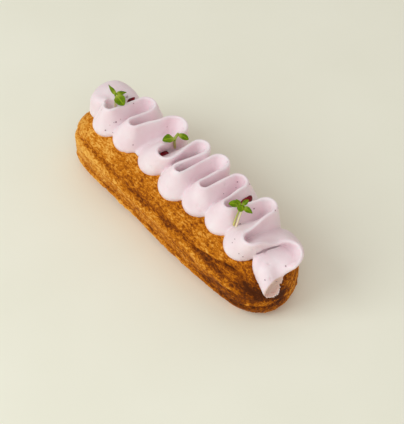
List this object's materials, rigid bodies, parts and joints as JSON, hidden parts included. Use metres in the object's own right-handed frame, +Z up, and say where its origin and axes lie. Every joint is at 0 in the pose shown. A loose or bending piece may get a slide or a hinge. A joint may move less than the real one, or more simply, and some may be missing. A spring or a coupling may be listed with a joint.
{
  "type": "eclair",
  "caption": "Oblong baked choux eclair topped with a ruffled ribbon of pale lilac piped cream, small leaf sprigs and drops of dark red jam.",
  "frame": {"origin": "middle of the outline's box, on the surface the eclair stands on", "axes": "+X along the shell towards the end where the ribbon of cream runs out, +Y to the side the folds lean over, +Z up"},
  "size_m": [0.141, 0.0396, 0.049],
  "materials": {
    "baked_choux": "rough baked crust, golden brown",
    "lilac_cream": "smooth satin whipped cream, pale lilac",
    "green_leaf": "fresh leaf, soft sheen",
    "red_jam": "wet gloss, dark red"
  },
  "bodies": {
    "root": {"choux_shell": "baked_choux", "piped_cream": "lilac_cream", "sprig_1": "green_leaf", "sprig_2": "green_leaf", "sprig_3": "green_leaf", "jam_drop_1": "red_jam", "jam_drop_2": "red_jam", "jam_drop_3": "red_jam"}
  },
  "joints": []
}
